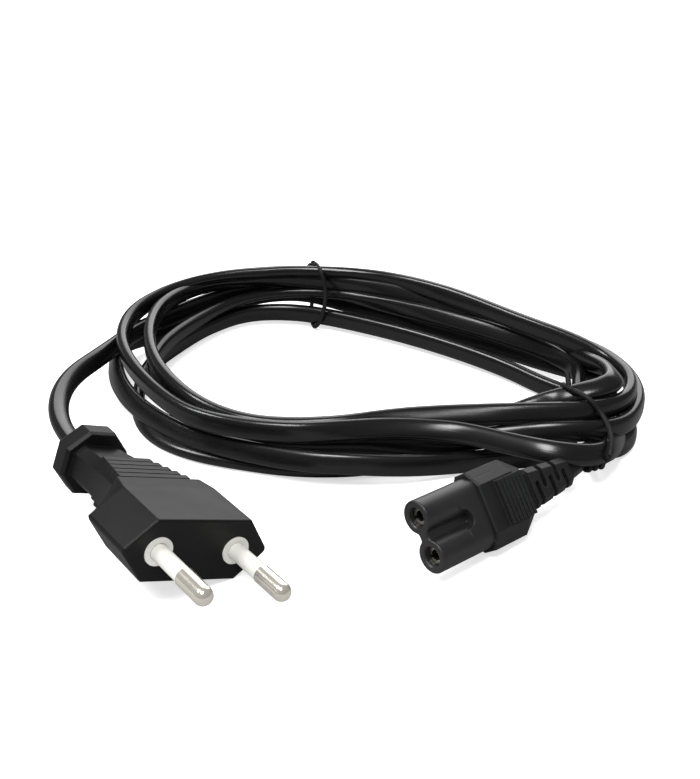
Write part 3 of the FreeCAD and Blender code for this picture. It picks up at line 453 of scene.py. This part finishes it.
def cordFinish(name, values):
    # extruded sheath: long thin streaks along the cord from its own UV map, with soft patches of gloss
    material, tree, shader = newMaterial(name)
    link = tree.links.new
    along = tree.nodes.new("ShaderNodeUVMap")
    along.uv_map = "along"
    stretch = tree.nodes.new("ShaderNodeMapping")
    stretch.inputs["Scale"].default_value = (values["streakRun"], values["streakTurns"], 1.0)
    link(along.outputs["UV"], stretch.inputs["Vector"])
    streak = tree.nodes.new("ShaderNodeTexNoise")
    streak.inputs["Scale"].default_value = 1.0
    streak.inputs["Detail"].default_value = noise["streakDetail"]
    link(stretch.outputs["Vector"], streak.inputs["Vector"])
    grain = grainNode(tree, values)
    height = tree.nodes.new("ShaderNodeMath")
    height.operation = "MULTIPLY_ADD"
    height.inputs[1].default_value = values["grainShare"]
    link(grain.outputs["Height"], height.inputs[0])
    link(streak.outputs["Fac"], height.inputs[2])
    bump = bumpNode(tree, values)
    link(height.outputs[0], bump.inputs["Height"])
    link(grain.outputs["Color"], shader.inputs["Base Color"])
    link(grain.outputs["Roughness"], shader.inputs["Roughness"])
    link(bump.outputs["Normal"], shader.inputs["Normal"])
    return material


# Finishes: one dictionary of values for each

cordLook = {
    "base": (0.0035, 0.0035, 0.0037), "worn": (0.007, 0.007, 0.0074), "rough": 0.24, "spread": 0.14,
    "grain": 2600.0, "patch": 60.0, "streakRun": 8.0, "streakTurns": 60.0, "grainShare": 0.35,
    "strength": 0.25, "depth": 0.00006}
# in the moulded finishes the edge colour is a painted highlight laid along the softened edges, and amount
# says how much of it is mixed in
plugLook = {
    "base": (0.0035, 0.0035, 0.0037), "worn": (0.0075, 0.0075, 0.0079), "edge": (0.03, 0.03, 0.031),
    "highlightAmount": 0.35, "rough": 0.42, "spread": 0.14, "grain": 3600.0, "patch": 120.0, "radius": 0.0004,
    "ior": 1.3, "strength": 0.22, "depth": 0.00005}
connectorLook = {
    "base": (0.006, 0.006, 0.0063), "worn": (0.012, 0.012, 0.0126), "edge": (0.045, 0.045, 0.046),
    "highlightAmount": 0.4, "rough": 0.5, "spread": 0.14, "grain": 3000.0, "patch": 140.0, "radius": 0.00035,
    "ior": 1.4, "strength": 0.28, "depth": 0.00006}
noseLook = {
    "base": (0.009, 0.009, 0.0094), "worn": (0.017, 0.017, 0.0175), "edge": (0.06, 0.06, 0.062),
    "highlightAmount": 0.4, "rough": 0.4, "spread": 0.12, "grain": 2600.0, "patch": 110.0, "radius": 0.0003,
    "ior": 1.5, "strength": 0.25, "depth": 0.00005}
sleeveLook = {
    "base": (0.58, 0.58, 0.54), "worn": (0.66, 0.66, 0.62), "edge": (0.85, 0.85, 0.82), "highlightAmount": 0.2,
    "rough": 0.42, "spread": 0.1, "grain": 1800.0, "patch": 200.0, "radius": 0.0002, "ior": 1.5,
    "strength": 0.12, "depth": 0.00003}
pinLook = {
    "metallic": 0.78, "base": (0.84, 0.78, 0.68), "worn": (0.91, 0.87, 0.79), "rough": 0.17, "spread": 0.1,
    "grain": 5200.0, "patch": 260.0, "strength": 0.08, "depth": 0.00002}
brassLook = {
    "metallic": 1.0, "base": (0.62, 0.46, 0.22), "worn": (0.75, 0.60, 0.34), "rough": 0.3, "spread": 0.2,
    "grain": 5200.0, "patch": 300.0, "strength": 0.1, "depth": 0.00002}
contactLook = {
    "metallic": 1.0, "base": (0.50, 0.46, 0.38), "worn": (0.66, 0.62, 0.54), "rough": 0.28, "spread": 0.2,
    "grain": 5200.0, "patch": 300.0, "strength": 0.1, "depth": 0.00002}
copperLook = {
    "metallic": 1.0, "base": (0.72, 0.36, 0.20), "worn": (0.84, 0.50, 0.32), "rough": 0.32, "spread": 0.2,
    "grain": 6000.0, "patch": 300.0, "strength": 0.2, "depth": 0.00003}
brownLook = dict(sleeveLook, base=(0.17, 0.07, 0.03), worn=(0.24, 0.11, 0.05), edge=(0.3, 0.15, 0.08))
blueLook = dict(sleeveLook, base=(0.03, 0.13, 0.38), worn=(0.05, 0.19, 0.48), edge=(0.1, 0.26, 0.55))
tieLook = dict(plugLook, base=(0.006, 0.006, 0.006), worn=(0.012, 0.012, 0.012), rough=0.55, radius=0.0001)

finishes = {
    "plug_moulding": mouldedFinish("plugPlastic", plugLook),
    "connector_moulding": mouldedFinish("connectorPlastic", connectorLook),
    "nose": mouldedFinish("nosePlastic", noseLook),
    "carrier": mouldedFinish("carrierPlastic", sleeveLook),
    "sleeve": mouldedFinish("sleevePlastic", sleeveLook),
    "core_brown": mouldedFinish("brownInsulation", brownLook),
    "core_blue": mouldedFinish("blueInsulation", blueLook),
    "tie": mouldedFinish("tieCoating", tieLook),
    "pin": metalFinish("nickelPlate", pinLook),
    "terminal": metalFinish("terminalBrass", brassLook),
    "contact": metalFinish("contactMetal", contactLook),
    "conductor": metalFinish("copperStrand", copperLook),
    "cord": cordFinish("cordSheath", cordLook)}


def dress(item, material):
    if item.material_slots:
        for slot in item.material_slots:
            slot.material = material
    else:
        item.data.materials.append(material)


for part in frame["record"]["subparts"]:
    dress(nodes[part["node"]], finishes[part["material_slot"]])
dress(cordPiece, finishes["cord"])
dress(tieBack, finishes["tie"])
dress(tieFront, finishes["tie"])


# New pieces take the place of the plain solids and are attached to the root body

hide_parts("cord_coil", "plug_lead", "connector_lead")
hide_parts("tie_back")
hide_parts("tie_front")
for piece, slot in ((cordPiece, "cord"), (tieBack, "tie"), (tieFront, "tie")):
    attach(piece, "root")


# Table, lights and surroundings

studio = {
    "half": 4.0, "rough": 0.9, "floor": (0.86, 0.86, 0.86),
    "floorSeen": 0.22, "mirrored": 0.15,  # how light the table and the room look in glossy pieces
    "floorGlow": 0.6, "ambient": 0.6,
    "key": {"place": (-0.15, -0.45, 1.1), "aim": (0.0, 0.06, 0.0), "size": 0.5, "power": 11.0},
    "rear": {"place": (0.25, 1.3, 0.7), "aim": (0.0, 0.08, 0.0), "size": 1.4, "power": 12.0},
    "side": {"place": (-0.75, 0.1, 0.92), "aim": (0.0, 0.1, 0.0), "size": 0.4, "power": 7.0}}


def makeFloor(values):
    # a flat square table, white to the camera except where the object shades it
    half = values["half"]
    mesh = bpy.data.meshes.new("table")
    corners = [(-half, -half, 0), (half, -half, 0), (half, half, 0), (-half, half, 0)]
    mesh.from_pydata(corners, [], [(0, 1, 2, 3)])
    material, tree, shader = newMaterial("tableTop")
    shader.inputs["Roughness"].default_value = values["rough"]
    glow = tree.nodes.new("ShaderNodeEmission")
    rays = tree.nodes.new("ShaderNodeLightPath")
    tint = tree.nodes.new("ShaderNodeMix")
    tint.data_type = "RGBA"
    tint.inputs["A"].default_value = (*values["floor"], 1.0)
    tint.inputs["B"].default_value = (values["floorSeen"], values["floorSeen"], values["floorSeen"], 1.0)
    tree.links.new(rays.outputs["Is Glossy Ray"], tint.inputs["Factor"])
    tree.links.new(tint.outputs["Result"], shader.inputs["Base Color"])
    strength = tree.nodes.new("ShaderNodeMath")
    strength.operation = "MULTIPLY"
    strength.inputs[1].default_value = values["floorGlow"]
    tree.links.new(rays.outputs["Is Camera Ray"], strength.inputs[0])
    tree.links.new(strength.outputs[0], glow.inputs["Strength"])
    total = tree.nodes.new("ShaderNodeAddShader")
    tree.links.new(shader.outputs[0], total.inputs[0])
    tree.links.new(glow.outputs[0], total.inputs[1])
    tree.links.new(total.outputs[0], tree.nodes["Material Output"].inputs["Surface"])
    makeObject("table", mesh, material)


def makeLamp(name, values):
    data = bpy.data.lights.new(name, "AREA")
    data.shape = "DISK"
    data.size = values["size"]
    data.energy = values["power"]
    item = bpy.data.objects.new(name, data)
    bpy.context.collection.objects.link(item)
    item.location = values["place"]
    back = unit(np.array(values["place"]) - np.array(values["aim"]))
    item.rotation_euler = (math.acos(back[2]), 0.0, math.atan2(back[1], back[0]) + math.pi / 2)


def makeWorld(values):
    world = bpy.data.worlds.new("surroundings")
    world.use_nodes = True
    bpy.context.scene.world = world
    tree = world.node_tree
    back = tree.nodes["Background"]
    back.inputs["Color"].default_value = (1.0, 1.0, 1.0, 1.0)
    rays = tree.nodes.new("ShaderNodeLightPath")
    seen = tree.nodes.new("ShaderNodeMapRange")
    seen.inputs["To Min"].default_value = values["ambient"]
    seen.inputs["To Max"].default_value = 1.0
    tree.links.new(rays.outputs["Is Camera Ray"], seen.inputs["Value"])
    mirrored = tree.nodes.new("ShaderNodeMix")
    mirrored.data_type = "FLOAT"
    mirrored.inputs["B"].default_value = values["mirrored"]
    tree.links.new(rays.outputs["Is Glossy Ray"], mirrored.inputs["Factor"])
    tree.links.new(seen.outputs["Result"], mirrored.inputs["A"])
    tree.links.new(mirrored.outputs["Result"], back.inputs["Strength"])


makeFloor(studio)
for name in ("key", "rear", "side"):
    makeLamp(name, studio[name])
makeWorld(studio)
bpy.context.scene.view_settings.view_transform = "Standard"
print("studio ready")
